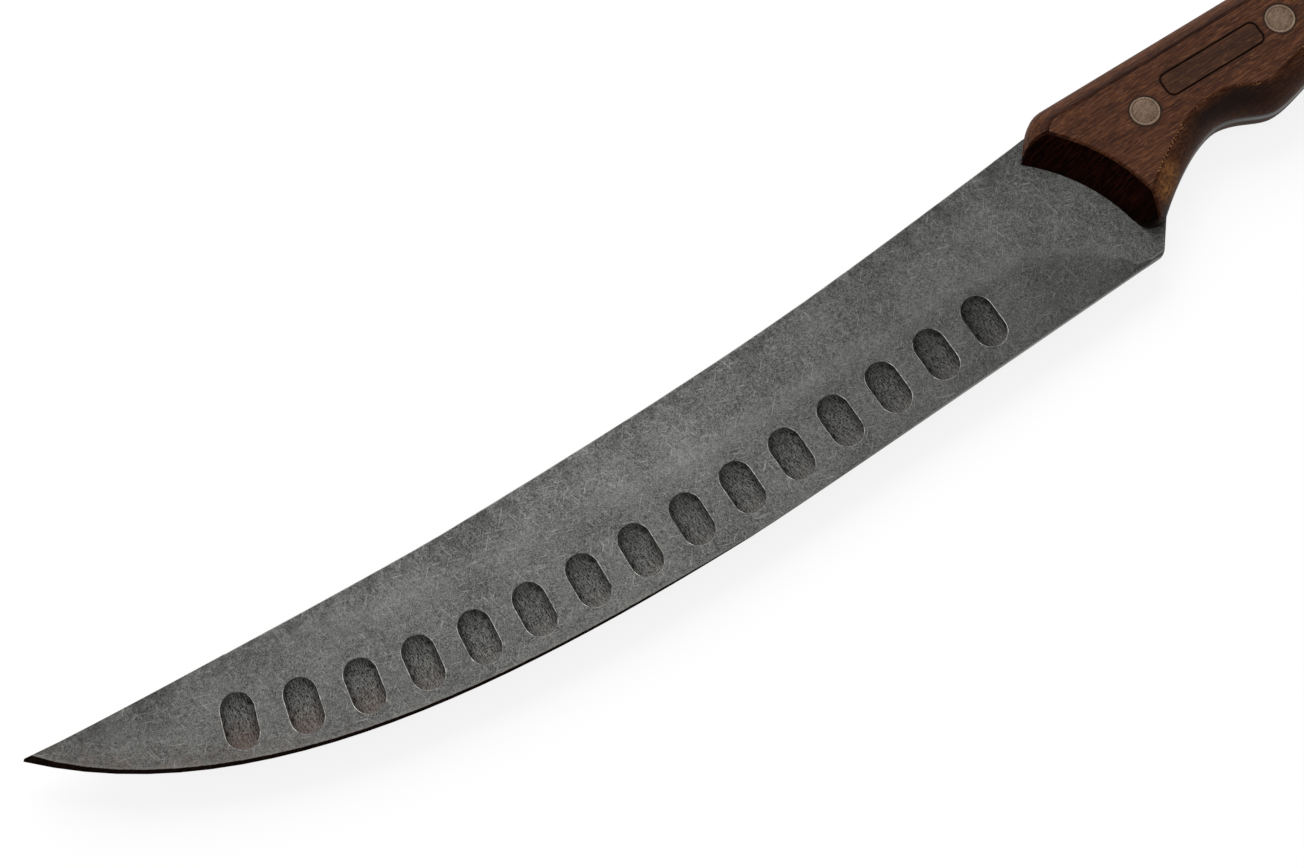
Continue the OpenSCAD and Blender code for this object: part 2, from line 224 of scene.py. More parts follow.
def noise(tree, where, scale, detail=2.0, roughness=0.5, distortion=0.0):
    """Noise with this many grains per metre."""
    inputs = {"Vector": where, "Scale": scale, "Detail": detail, "Roughness": roughness,
              "Distortion": distortion}
    return node(tree, "TexNoise", inputs).outputs["Fac"]


def squeezed(tree, where, scale, turn=0.0):
    """Coordinates with their own number of grains per metre along each axis."""
    turned = node(tree, "Mapping", {"Vector": where, "Rotation": (0, 0, math.radians(turn))})
    return node(tree, "Mapping", {"Vector": turned.outputs["Vector"], "Scale": scale}).outputs["Vector"]


def gauge(tree, name):
    """A number in mm that was stored on the mesh."""
    return node(tree, "Attribute", {}, attribute_name=name).outputs["Fac"]


# %% [markdown]
# ## The curves of the blade
# Finish follows form: the sharpened bevel has a painted dark reflection, the grind line has a painted
# highlight, and the hollows have their own grinding marks. So each point of the blade has to know
# how far it is from the cutting edge, from the grind line and from the spine. The curves below are
# the ones the blade was drawn with, in millimetres from its tip.

# %% Blade curves
tip, mid_z = np.array([-220.6, 21.5]), 10
edge_curves = [[(0, -0.6), (38.13, -40.75), (101.7, -48.8), (178.25, -48.8)],
               [(178.25, -48.8), (187.55, -48.8), (204.6, -48.18), (308.4, -43.2)]]
spine_curves = [[(0, 0), (11.16, -2.21), (99.2, -6.9), (117.8, -6.9)],
                [(117.8, -6.9), (212.0, -6.9), (230.95, -4.0), (297.8, 2.53)]]


def along(curves, steps=24):
    """The points of a row of curves with four handles each, placed in the knife's frame."""
    points = []
    for handles in curves:
        a, b, c, d = (np.array(p, float) for p in handles)
        for t in np.linspace(0, 1, steps, endpoint=False):
            points.append((1 - t) ** 3 * a + 3 * (1 - t) ** 2 * t * b + 3 * (1 - t) * t * t * c + t ** 3 * d)
    points.append(np.array(curves[-1][3], float))
    return np.array(points) + tip


def reach(points, line):
    """For each point, its distance from a line of points and how far along the line it is."""
    start, step = line[:-1], np.diff(line, axis=0)
    length = np.linalg.norm(step, axis=1)
    run = np.concatenate([[0], np.cumsum(length)[:-1]])
    share = np.einsum("ijk,jk->ij", points[:, None] - start, step) / length ** 2
    share = np.clip(share, 0, 1)
    far = np.linalg.norm(points[:, None] - start - share[:, :, None] * step, axis=2)
    best = far.argmin(axis=1)
    rows = np.arange(len(points))
    return far[rows, best], run[best] + share[rows, best] * length[best]


edge_line, spine_line = along(edge_curves), along(spine_curves)
ground_end = np.array([[302.4, -43.5]]) + tip
ground_run = reach(ground_end, edge_line)[1][0]
print("Length of the ground edge in mm:", round(float(ground_run), 1))


# %% Widths along the edge
def dark_width(run):
    """Width of the band painted dark as the bevel's reflection. It dies away before the heel."""
    return np.interp(run, [0, 8, 20, 56, 80, 120, 165, 182, 196, 206],
                     [2.0, 1.45, 1.1, 1.0, 0.85, 0.7, 0.5, 0.28, 0.04, -0.08])


def grind_width(run):
    """Width of the ground face: it narrows from the tip, and runs out in an arc at the heel."""
    even_width, more_at_tip, plunge_r, plunge_run = 23, 9, 45, 38.3
    past = np.clip(run - ground_run + plunge_run, 0, plunge_run)
    width = even_width + more_at_tip * np.maximum(0, 1 - run / (ground_run - plunge_run))
    return width - plunge_r + np.sqrt(plunge_r ** 2 - past ** 2)


print("Width of the ground face at 0, 100 and 200 mm:", grind_width(np.array([0, 100, 200])).round(1))

# %% [markdown]
# ## Working on a copy
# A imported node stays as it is. A piece that needs softer edges starts as a copy of the node: its
# loose triangles are merged into one skin, and flat neighbours become one face, so that a bevel
# has clean edges to run along.

# %% A merged copy
def copy_of(node_name, name):
    """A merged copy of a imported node, with no material."""
    bpy.ops.object.select_all(action="DESELECT")
    source = frame["nodes"][node_name]
    source.select_set(True)
    bpy.context.view_layer.objects.active = source
    bpy.ops.object.duplicate()
    piece = bpy.context.object
    piece.name = piece.data.name = name
    del piece["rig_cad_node"]
    piece.data.materials.clear()
    bpy.ops.mesh.customdata_custom_splitnormals_clear()
    bpy.ops.object.mode_set(mode="EDIT")
    bpy.ops.mesh.select_all(action="SELECT")
    bpy.ops.mesh.remove_doubles(threshold=0.002 * mm)
    bpy.ops.mesh.dissolve_limited(angle_limit=math.radians(0.02))
    bpy.ops.object.mode_set(mode="OBJECT")
    return piece


# %% Measuring a piece
def corners(piece):
    """The piece's vertices, one row each, in millimetres."""
    flat = np.zeros(3 * len(piece.data.vertices))
    piece.data.vertices.foreach_get("co", flat)
    return flat.reshape(-1, 3) / mm


def middles(piece):
    """The middle of each face in millimetres, and its normal."""
    faces = piece.data.polygons
    at, normal = np.zeros(3 * len(faces)), np.zeros(3 * len(faces))
    faces.foreach_get("center", at)
    faces.foreach_get("normal", normal)
    return at.reshape(-1, 3) / mm, normal.reshape(-1, 3)


def slots_beside(piece):
    """For each edge, named by its two vertices, the material slots of the faces beside it."""
    found = {}
    for face in piece.data.polygons:
        for key in face.edge_keys:
            found.setdefault(key, []).append(face.material_index)
    return found


# %% Picking and easing edges
def sharp_edges(piece, angle):
    """Numbers of the edges that turn by more than this angle in degrees."""
    bpy.context.view_layer.objects.active = piece
    bpy.ops.object.mode_set(mode="EDIT")
    bpy.ops.mesh.select_mode(type="EDGE")
    bpy.ops.mesh.select_all(action="DESELECT")
    bpy.ops.mesh.edges_select_sharp(sharpness=math.radians(angle))
    bpy.ops.object.mode_set(mode="OBJECT")
    return [e.index for e in piece.data.edges if e.select]


def pick_edges(piece, edges):
    """Selects the edges with these numbers, and leaves edit mode on."""
    bpy.context.view_layer.objects.active = piece
    bpy.ops.object.mode_set(mode="EDIT")
    bpy.ops.mesh.select_mode(type="EDGE")
    bpy.ops.mesh.select_all(action="DESELECT")
    bpy.ops.object.mode_set(mode="OBJECT")
    for number in edges:
        piece.data.edges[number].select = True
    bpy.ops.object.mode_set(mode="EDIT")


def ease(piece, edges, width, segments, slot):
    """Rounds the given edges by this width in mm. The new faces get the material of this slot."""
    pick_edges(piece, edges)
    bpy.ops.mesh.bevel(offset=width * mm, segments=segments, affect="EDGES", clamp_overlap=False,
                       material=slot)
    bpy.ops.object.mode_set(mode="OBJECT")
    print(piece.name, "eased edges:", len(edges), "faces now:", len(piece.data.polygons))


# %% Faces that easing turned over
def unfold(piece, rounds=6):
    """Easing can turn a very narrow face over. Each one is merged with the face beside it."""
    for repeat in range(rounds):
        at, normal = middles(piece)
        level, inward = np.abs(normal[:, 2]) > 0.5, (at[:, 2] - mid_z) * normal[:, 2] < 0
        turned = np.nonzero(level & inward)[0]
        print(piece.name, "faces turned over:", len(turned))
        if not len(turned):
            return
        points, slots = corners(piece), slots_beside(piece)

        def worth(key):
            """Best is the longest side that has the same finish on both sides."""
            return slots[key][0] == slots[key][-1], np.linalg.norm(points[key[0]] - points[key[1]])

        chosen = {max(piece.data.polygons[number].edge_keys, key=worth) for number in turned}
        pick_edges(piece, [edge.index for edge in piece.data.edges if edge.key in chosen])
        bpy.ops.mesh.dissolve_edges(use_verts=False)
        bpy.ops.object.mode_set(mode="OBJECT")


# %% Shading and stored numbers
def smooth(piece, angle=25):
    """Shades the piece smooth up to this angle, with the large flat faces kept flat."""
    bpy.ops.object.select_all(action="DESELECT")
    piece.select_set(True)
    bpy.context.view_layer.objects.active = piece
    bpy.ops.object.shade_smooth_by_angle(angle=math.radians(angle))
    bpy.ops.object.modifier_add(type="WEIGHTED_NORMAL")
    piece.modifiers[-1].keep_sharp = True
    bpy.ops.object.modifier_apply(modifier=piece.modifiers[-1].name)


def store(piece, name, values):
    """Keeps one number per vertex on the mesh, for a material to read."""
    attribute = piece.data.attributes.new(name, "FLOAT", "POINT")
    attribute.data.foreach_set("value", np.asarray(values, np.float32))


# %% [markdown]
# ## Tumbled steel
# The blade was tumbled with stones, so it is dull and mottled: fine light and dark grains, soft
# clouds, and short hair scratches that run every way. Layers of noise of falling size give the
# grains and the clouds. A scratch is noise drawn out along one direction, of which only the highest
# crests are kept. Dashes and pits are drawn out 3 times, the long hairs 15 times.

# %% Tumbled steel
pit_turns, dash_turns, hair_turns = (8, 63, 112, 155), (38, 84, 128, 171), (18, 77, 131)


def crests(tree, where, turns, scale, low, high):
    """Short dashes in several directions: the highest crests of drawn-out noise."""
    found = None
    for number, turn in enumerate(turns):
        lines = noise(tree, squeezed(tree, where, scale, turn), 1, 2, 0.55, 0.1 * number)
        crest = spread(tree, lines, low, high)
        found = crest if found is None else maths(tree, "MAXIMUM", found, crest)
    return found


def light_dashes(tree, where):
    """The dashes that the tumbling stones left bright."""
    return crests(tree, where, dash_turns, (1000, 3600, 1500), 0.58, 0.70)


def tumbled_look(tree, where):
    """Colour and relief of the tumbled surface."""
    grain = noise(tree, where, 3000, 4, 0.75)
    patches = noise(tree, where, 560, 3, 0.65)
    clouds = noise(tree, where, 62, 3, 0.6)
    level = weighed(tree, (grain, 0.72), (patches, 0.17), (clouds, 0.2))
    pits = crests(tree, where, pit_turns, (1000, 3200, 1500), 0.58, 0.70)
    dashes = light_dashes(tree, where)
    hairs = crests(tree, where, hair_turns, (200, 3100, 1500), 0.65, 0.725)
    colour = mixed(tree, spread(tree, level, 0.42, 0.67), srgb(42, 42, 42), srgb(110, 110, 108))
    colour = mixed(tree, product(tree, pits, 0.5), colour, srgb(36, 36, 36))
    colour = mixed(tree, product(tree, dashes, 0.5), colour, srgb(116, 116, 114))
    colour = mixed(tree, product(tree, hairs, 0.65), colour, srgb(136, 136, 134))
    return colour, weighed(tree, (level, 1), (dashes, 0.25), (pits, -0.3))


tumbled, tree, shader = new_material("tumbled_steel", metallic=1.0)
where = own_place(tree)
colour, relief = tumbled_look(tree, where)
along_x = axis(tree, where, "X")
print("Nodes in the plain tumbled look:", len(tree.nodes))

# %% [markdown]
# ## What the grinding and the sharpening add
# The ground face meets the flat in a soft line with a painted highlight, and near the heel the
# ground face is darker than the flat. The whole blade also gets darker towards the heel: painted
# shade. Under the spine the steel is darker too. The sharpened bevel is painted nearly black, as a
# dark reflection: the band wraps round the tip, gets narrower along the edge, and dies away before
# the heel. Where it has died away, the edge itself has a fine painted highlight. By the tip the steel
# over the dark band has a faint brown tint. The numbers that say how far a point is from these lines
# are stored on the mesh further down.

# %% Grind line, spine and heel
plunge_x, heel_shade_x, warm_x = (35, 70), (-50, 30), (-210, -140)

# painted highlight along the grind line
grind_highlight = spread(tree, off_from(tree, gauge(tree, "from_grind")), 0, 4, 0.22, 0)
colour = mixed(tree, grind_highlight, colour, srgb(112, 112, 110))
spots = spread(tree, noise(tree, where, 260, 2, 0.6), 0.42, 0.62)
under_spine = product(tree, spread(tree, gauge(tree, "from_spine"), 0.5, 9, 0.5, 0), spots)
colour = mixed(tree, under_spine, colour, srgb(40, 40, 40))
plunge = product(tree, spread(tree, gauge(tree, "from_grind"), -1.5, 1.0, 0.26, 0),
                 ramp(tree, along_x, *plunge_x))
colour = mixed(tree, plunge, colour, srgb(36, 36, 36))
# painted shade: the blade gets darker towards the heel
colour = mixed(tree, ramp(tree, along_x, *heel_shade_x, 0, 0.42), colour, srgb(40, 40, 40))
colour = mixed(tree, ramp(tree, along_x, *warm_x, 0.16, 0), colour, srgb(60, 57, 52))
print("Nodes with the grind line:", len(tree.nodes))

# %% Dark bevel
beside_x, haze_x, bright_x = (0, 90), (-190, -140), (-10, 30)
dark_reflection_tip, dark_reflection_tip_r = (*(tip - [0.3, 0.6]), mid_z), 2.0

strokes = noise(tree, squeezed(tree, where, (400, 3200, 400)), 1, 3, 0.6)
round_tip = product(tree, far_from(tree, where, dark_reflection_tip), 1 / mm)
band = maths(tree, "MINIMUM", gauge(tree, "from_dark_reflection"), maths(tree, "SUBTRACT", round_tip, dark_reflection_tip_r))
band = maths(tree, "ADD", band, spread(tree, strokes, 0.3, 0.7, -0.06, 0.06))
beside = product(tree, spread(tree, band, 0.1, 0.8, 0.4, 0), ramp(tree, along_x, *beside_x, 1, 0.5))
colour = mixed(tree, beside, colour, srgb(116, 114, 110))
haze = product(tree, spread(tree, band, 0.5, 6, 0.34, 0), ramp(tree, along_x, *haze_x, 1, 0), spots)
colour = mixed(tree, haze, colour, srgb(94, 78, 70))
# painted highlight: a fine bright line on the edge where the dark band has died away
edge_highlight = product(tree, spread(tree, band, 0, 0.6, 0.8, 0), ramp(tree, along_x, *bright_x))
colour = mixed(tree, edge_highlight, colour, srgb(150, 150, 148))
# painted dark reflection on the sharpened bevel, with stroke marks in it
dark_reflection = mixed(tree, spread(tree, strokes, 0.35, 0.7), srgb(12, 8, 8), srgb(28, 22, 20))
colour = mixed(tree, spread(tree, band, -0.08, 0.08, 1, 0), colour, dark_reflection)
wire(tree, shader, colour, spread(tree, relief, 0.3, 0.9, 0.66, 0.5), relief)
print("Nodes in the tumbled steel:", len(tree.nodes))

# %% [markdown]
# ## The hollows and their rims
# A hollow was ground with a wheel, so it has fine lines along its length. It is darker than the
# tumbled face around it, with painted shade under its own two long sides and at its upper end, and
# painted light at its lower end; near the heel the hollows get more painted shade, most on the
# tip's side. Its rim has painted highlights along the two long sides, and is duller round both ends.
# The hollows on the tip's side are tinted brown at their lower ends. Both patterns follow the hollow,
# so they read a UV map that holds the place in the hollow in metres. The spine and the heel were
# rubbed in streaks. The side of the tang was ground flush with the wood: it is painted dark, as
# shade between the handle halves, and keeps its steel colour in a strip past the finger notch.

# %% Ground hollows
hollow_l, hollow_w = 14.5, 8.5
shaded_top, lit_bottom, foot, tinted = (1, 7), (-7, -3.5), (-7.5, -4), (-5, 1)
tint_x, hollow_heel_shade_x, by_heel_x = (-170, -110), (-150, 80), (0, 70)


def in_it(tree):
    """The place in the hollow: across it, and up it."""
    inside = node(tree, "UVMap", {}, uv_map="hollow").outputs["UV"]
    return inside, axis(tree, inside, "X"), axis(tree, inside, "Y")


hollow_ground, tree, shader = new_material("hollow_ground_steel", metallic=1.0)
where, (inside, across, up_it) = own_place(tree), in_it(tree)
along_x = axis(tree, where, "X")
lines = noise(tree, squeezed(tree, inside, (3300, 600, 1)), 1, 2, 0.7)
level = weighed(tree, (lines, 0.5), (noise(tree, where, 2700, 4, 0.75), 0.5))
colour = mixed(tree, spread(tree, level, 0.44, 0.58), srgb(2, 2, 2), srgb(94, 94, 92))
colour = mixed(tree, product(tree, light_dashes(tree, where), 0.45), colour, srgb(128, 128, 125))
# painted shade at the hollow's upper end, and painted light at its lower end
colour = mixed(tree, ramp(tree, up_it, *shaded_top, 0, 0.35), colour, srgb(22, 22, 22))
colour = mixed(tree, ramp(tree, up_it, *lit_bottom, 0.3, 0), colour, srgb(100, 98, 95))
brown = product(tree, ramp(tree, up_it, *tinted, 0.42, 0), ramp(tree, along_x, *tint_x, 1, 0.05))
colour = mixed(tree, brown, colour, srgb(76, 57, 49))
# painted shade: the hollows get darker towards the heel
colour = mixed(tree, ramp(tree, along_x, *hollow_heel_shade_x, 0.08, 0.5), colour, srgb(20, 20, 20))
print("Nodes in a hollow's floor:", len(tree.nodes))

# %% Shade under the rim of a hollow
straight = (hollow_l - hollow_w) / 2 * mm
past = maths(tree, "MAXIMUM", maths(tree, "SUBTRACT", off_from(tree, up_it), straight), 0.0)
out = maths(tree, "SQRT", maths(tree, "ADD", product(tree, past, past), product(tree, across, across)))
side_share = ramp(tree, off_from(tree, across), 0.5, 3, 0.3, 0.62)
shade = product(tree, ramp(tree, out, 1.9, 3.8), side_share, ramp(tree, up_it, *foot))
colour = mixed(tree, shade, colour, srgb(12, 12, 12))
# painted shade on the tip's side of the hollows near the heel
tip_side_shade = product(tree, ramp(tree, across, -3.5, 2.5, 0.7, 0.1), ramp(tree, along_x, *by_heel_x))
colour = mixed(tree, tip_side_shade, colour, srgb(16, 16, 16))
wire(tree, shader, colour, spread(tree, lines, 0.3, 0.7, 0.6, 0.45), level, strength=0.45)
print("Nodes in the hollow's finish:", len(tree.nodes))

# %% Rims of the hollows
rim_steel, tree, shader = new_material("rim_steel", metallic=1.0)
worn = spread(tree, noise(tree, own_place(tree), 900, 3, 0.6), 0.36, 0.64)
# painted highlights along the rims' long sides; the ends are left duller
long_side = ramp(tree, off_from(tree, in_it(tree)[1]), 3, 4)
ends = mixed(tree, worn, srgb(58, 57, 56), srgb(104, 102, 99))
rim_highlights = mixed(tree, worn, srgb(124, 122, 118), srgb(200, 197, 192))
wire(tree, shader, mixed(tree, long_side, ends, rim_highlights))
print("Nodes in the rims:", len(tree.nodes))

# %% Rubbed spine and heel, and the side of the tang
streak_grains = (150, 900, 2400)
bare_line_z, bare_x = 9.8, (117, 131)

rubbed, tree, shader = new_material("rubbed_steel", metallic=1.0)
worn = noise(tree, squeezed(tree, own_place(tree), streak_grains), 1, 3, 0.6)
colour = mixed(tree, spread(tree, worn, 0.36, 0.64), srgb(74, 74, 73), srgb(114, 114, 112))
wire(tree, shader, colour, spread(tree, worn, 0.3, 0.7, 0.6, 0.45))

tang_side, tree, shader = new_material("tang_side", metallic=0.6)
where = own_place(tree)
worn = noise(tree, squeezed(tree, where, streak_grains), 1, 3, 0.6)
off_line = off_from(tree, axis(tree, where, "Z"), bare_line_z * mm)
past_notch = ramp(tree, axis(tree, where, "X"), *bare_x, 0.08, 1)
# the side of the tang is painted dark as shade between the handle halves; a strip past the finger notch
# keeps the steel's colour
bare = product(tree, ramp(tree, off_line, 0.3, 1.1, 1, 0), past_notch, spread(tree, worn, 0.3, 0.5, 0.5, 1))
wire(tree, shader, mixed(tree, bare, srgb(30, 20, 15), srgb(112, 112, 110)))
print("Nodes in the side of the tang:", len(tree.nodes))

# %% [markdown]
# ## The blade
# First every face is sorted by its place: hollow, tumbled face or side of the tang. Then the rims
# of the hollows and the corners of the spine and the heel are eased. The tang keeps its crisp
# corners, because it lies flush between the handle halves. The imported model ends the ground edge
# in a small step, which here is drawn out to a slope, as a grinder would leave it. Easing a rim
# can turn a very narrow face over, and such a face goes into the one beside it. The rims keep a
# hard line against the faces round them, so that no long narrow face bends its shading towards a
# rim.

# %% Where the hollows are
def hollow_places():
    """Middle, lengthwise direction and side of every hollow, in the knife's frame."""
    count, first, pitch, tip_margin, heel_margin = 15, 49.3, 15.1, 3.5, 5.0
    follow, lean = 0.8, math.radians(1)
    runs = reach(edge_line, edge_line)[1]

    def edge_at(run):
        """The point of the cutting edge at this length along it."""
        return np.array([np.interp(run, runs, line) for line in edge_line.T])

    places = []
    for side, steps in ((1, np.arange(count)), (-1, np.arange(count - 1) + 0.5)):
        for step in steps:
            x = run = first + step * pitch
            inward = hollow_l / 2 + tip_margin + (heel_margin - tip_margin) * step / (count - 1)
            for repeat in range(8):
                way = edge_at(run + 2) - edge_at(run - 2)
                way /= np.linalg.norm(way)
                middle = edge_at(run) + inward * np.array([-way[1], way[0]])
                run += x - (middle - tip)[0]
            angle = follow * math.atan2(way[1], way[0]) - lean
            places.append((middle, np.array([-math.sin(angle), math.cos(angle)]), side))
    return places


def in_hollow(points, grown=0.0):
    """For each point the number of the hollow that it is in, or -1, and its place in it in mm."""
    found = np.full(len(points), -1)
    local = np.zeros((len(points), 2))
    for number, (middle, up, side) in enumerate(hollow_places()):
        off = points[:, :2] - middle
        along_it, across = off @ up, off @ np.array([up[1], -up[0]])
        past = np.maximum(np.abs(along_it) - (hollow_l - hollow_w) / 2, 0)
        inside = (np.hypot(past, across) < hollow_w / 2 + grown) & ((points[:, 2] - mid_z) * side > 0)
        found[inside] = number
        local[inside] = np.stack([across, along_it], axis=1)[inside]
    return found, local


print("Hollows:", len(hollow_places()))

# %% The blade's copy, and the slope at the end of its ground edge
blade = copy_of("blade", "blade_steel")
for finish in (tumbled, hollow_ground, rubbed, rim_steel, tang_side):
    blade.data.materials.append(finish)
face_slot, hollow_slot, rubbed_slot, rim_slot, tang_slot = range(5)

run_out = Vector((1, 0.048, 0)) * 3.6 * mm
step_x, step_y, core = (81.69, 81.82), -21.1, 0.25
bpy.ops.object.mode_set(mode="EDIT")
bpy.ops.mesh.select_mode(type="VERT")
bpy.ops.mesh.select_all(action="DESELECT")
bpy.ops.object.mode_set(mode="OBJECT")
for vertex in blade.data.vertices:
    x, y, z = vertex.co / mm
    vertex.select = step_x[0] < x < step_x[1] and y < step_y and abs(z - mid_z) > core
print("Corners moved at the end of the ground edge:", sum(v.select for v in blade.data.vertices))
bpy.ops.object.mode_set(mode="EDIT")
bpy.ops.transform.translate(value=run_out)
bpy.ops.object.mode_set(mode="OBJECT")

# %% Each face of the blade gets its finish
tang_x = 94
in_which = in_hollow(corners(blade), 0.04)[0]
at, normal = middles(blade)
flush = (at[:, 0] > tang_x) & (np.abs(normal[:, 2]) < 0.1)
for face, ground_flush in zip(blade.data.polygons, flush):
    ends = list(face.vertices)
    if in_which[ends[0]] >= 0 and (in_which[ends] == in_which[ends[0]]).all():
        face.material_index = hollow_slot
    elif ground_flush:
        face.material_index = tang_slot
print("Faces in hollows:", sum(f.material_index == hollow_slot for f in blade.data.polygons))

# %% Eased rims, spine and heel
rim_ease, corner_ease = 0.18, 0.22
near_face, spine_end_x, heel_x, heel_y = 1.4, 76, (82, tang_x), -14.5

slots = slots_beside(blade)
rims = [e.index for e in blade.data.edges if sorted(slots[e.key]) == [face_slot, hollow_slot]]
ease(blade, rims, rim_ease, 2, rim_slot)

points = corners(blade)
on_face = np.abs(points[:, 2] - mid_z) > near_face
on_spine = on_face & (reach(points[:, :2], spine_line)[0] < 0.1) & (points[:, 0] < spine_end_x)
on_heel = on_face & (points[:, 0] > heel_x[0]) & (points[:, 0] < heel_x[1]) & (points[:, 1] < heel_y)
eased = [n for n in sharp_edges(blade, 40)
         if all(on_spine[v] for v in blade.data.edges[n].vertices)
         or all(on_heel[v] for v in blade.data.edges[n].vertices)]
ease(blade, eased, corner_ease, 3, rubbed_slot)
unfold(blade)

slots = slots_beside(blade)
for edge in blade.data.edges:
    edge.use_edge_sharp = len(set(slots[edge.key])) > 1
smooth(blade, 12)

# %% Gauges and hollow coordinates on the blade
unground = 20
points = corners(blade)
far, run = reach(points[:, :2], edge_line)
store(blade, "from_dark_reflection", far - dark_width(run))
store(blade, "from_grind", np.where(run < ground_run - 0.1, far - grind_width(run), unground))
store(blade, "from_spine", reach(points[:, :2], spine_line)[0])
local = in_hollow(points, 0.25)[1] * mm
hollow_map = blade.data.uv_layers.new(name="hollow")
for loop in blade.data.loops:
    hollow_map.data[loop.index].uv = local[loop.vertex_index]
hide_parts("blade")
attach(blade, "root")
print("Corners of the blade with gauges:", len(points))

# %% [markdown]
# ## Where the rivets and the stamped frame are
# The wood is stained dark round each rivet, and scorched a little at the lines of the stamped
# frame. Both finishes need a distance: from the nearest rivet, and from the frame's rounded outline.

# %% Distances on the handle
rivet_names = ("front", "middle", "rear")
rivet_spots = []
for name in rivet_names:
    low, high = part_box(name + "_rivet_socket")
    rivet_spots.append(np.array((low + high) / 2)[:2] / mm)
print("Rivets at:", [[round(float(v), 2) for v in spot] for spot in rivet_spots])
handle_top = 20
frame_middle, frame_half, frame_r = np.array([127.5, 13.45]), np.array([15.2, 3.5]), 2.2


def from_rivet(tree, where):
    """Distance from the axis of the nearest rivet."""
    flat = vectors(tree, "MULTIPLY", where, (1, 1, 0))
    first, second, third = (far_from(tree, flat, (*spot, 0)) for spot in rivet_spots)
    return maths(tree, "MINIMUM", maths(tree, "MINIMUM", first, second), third)


def from_frame(tree, where):
    """Distance from the outline of the stamped frame, below 0 inside it. Only on the left face."""
    inner = frame_half - frame_r
    off = vectors(tree, "SUBTRACT", where, tuple(float(v) * mm for v in (*frame_middle, handle_top)))
    off = vectors(tree, "ABSOLUTE", off)
    off = vectors(tree, "SUBTRACT", off, tuple(float(v) * mm for v in (*inner, 0)))
    off = vectors(tree, "MAXIMUM", off)
    return maths(tree, "SUBTRACT", vectors(tree, "LENGTH", off, output="Value"), frame_r * mm)


def above_rivets(tree, where):
    """Height of a point over the line through the rivets, towards the spine."""
    (x0, y0), (x1, y1) = rivet_spots[0], rivet_spots[2]
    slope = (y1 - y0) / (x1 - x0)
    turned = vectors(tree, "DOT_PRODUCT", where, (-slope, 1, 0), "Value")
    return maths(tree, "SUBTRACT", turned, (y0 - slope * x0) * mm)


def half_height(tree, where):
    """Distance from the middle of the tang, to either side."""
    return off_from(tree, axis(tree, where, "Z"), mid_z * mm)


# %% [markdown]
# ## Dark wood
# The handle is a dense reddish-brown wood, cut along the grain. Its look has three sizes: broad
# darker and lighter streaks, fine fibres, and pores that show as short dark dashes. All are
# noise drawn out along the handle. The wood of the finger notch is painted darker: painted shade
# in the hollow of the notch, with some darkening by the hand's oil. Over the toe the oil is worn
# off, so the bare wood shows lighter there, with painted light on the slope, and the foot of the toe
# is painted dark as shade.

# %% Grain of the wood
def drawn_out(tree, where, along_it, across, detail, roughness):
    """Noise drawn out along the handle, with these grains per metre along it and across it."""
    return noise(tree, squeezed(tree, where, (along_it, across, across), -1), 1, detail, roughness)


def wavy(tree, where):
    """Coordinates whose lines wander a little from side to side."""
    drift = noise(tree, squeezed(tree, where, (12, 50, 50)), 1, 1, 0.5)
    inputs = {"X": 0.0, "Y": product(tree, drift, 2.5 * mm), "Z": product(tree, drift, 2 * mm)}
    return vectors(tree, "ADD", where, node(tree, "CombineXYZ", inputs).outputs["Vector"])


class Wood:
    """A wood finish with its grain along the handle."""

    def __init__(self, name, tones, roughness, specular):
        """Makes the material, with three tones from dark to light."""
        self.material, tree, self.shader = new_material(name, roughness=roughness, specular=specular)
        self.tree, self.where = tree, own_place(tree)
        self.grain_at = wavy(tree, self.where)
        streaks = drawn_out(tree, self.grain_at, 14, 260, 3, 0.6)
        bands = drawn_out(tree, self.grain_at, 150, 1500, 3, 0.7)
        fibres = drawn_out(tree, self.grain_at, 330, 2700, 3, 0.7)
        self.pores = spread(tree, drawn_out(tree, self.grain_at, 260, 2700, 2, 0.5), 0.59, 0.66)
        self.relief = weighed(tree, (fibres, 1), (self.pores, -0.8))
        level = weighed(tree, (streaks, 0.16), (bands, 0.38), (fibres, 0.46))
        colour = mixed(tree, spread(tree, level, 0.41, 0.5), tones[0], tones[1])
        self.colour = mixed(tree, spread(tree, level, 0.5, 0.6), colour, tones[2])

    def oil(self, colour):
        """Links the final colour and the relief to the shader."""
        wire(self.tree, self.shader, colour, relief=self.relief, strength=0.5, depth=0.06)
        print("Nodes in", self.material.name, len(self.tree.nodes))


# %% Shade, light and wear at the notch and the toe
notch_x, hump_x, notch_rise, notch_z, notch_top = (104, 118), (129, 145), (-9, -6), (2, 7.5), (9.65, 9.95)
bare_spots, bare_r = ((100.5, -5.5, 6.5), (97.5, -9, 6.5)), 4.5
toe_x, toe_y, toe_z = (100, 105), (-13.5, -9.5), (5, 8.5)


